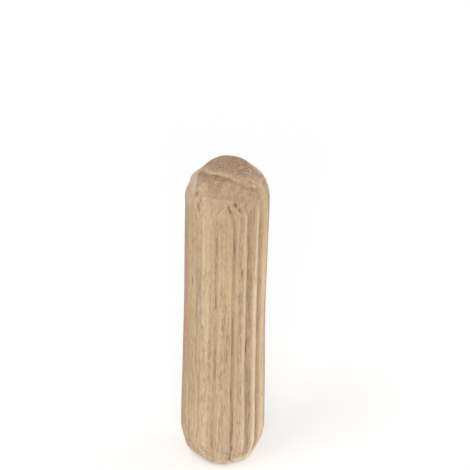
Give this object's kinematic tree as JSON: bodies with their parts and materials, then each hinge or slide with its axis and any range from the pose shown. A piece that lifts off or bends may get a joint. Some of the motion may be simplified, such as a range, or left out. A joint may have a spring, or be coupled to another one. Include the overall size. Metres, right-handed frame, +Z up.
{
  "type": "dowel pin",
  "caption": "Straight fluted beech dowel pin with chamfered, rounded ends, glued into facing blind holes to line up and join boards.",
  "frame": {"origin": "centre of the lower end face, on which the pin stands", "axes": "+Z up along the pin's axis, -Y towards the viewer, +X to the viewer's right"},
  "size_m": [0.0096, 0.0096, 0.04],
  "materials": {
    "beech": "matte"
  },
  "bodies": {
    "root": {"dowel_pin": "beech"}
  },
  "joints": []
}
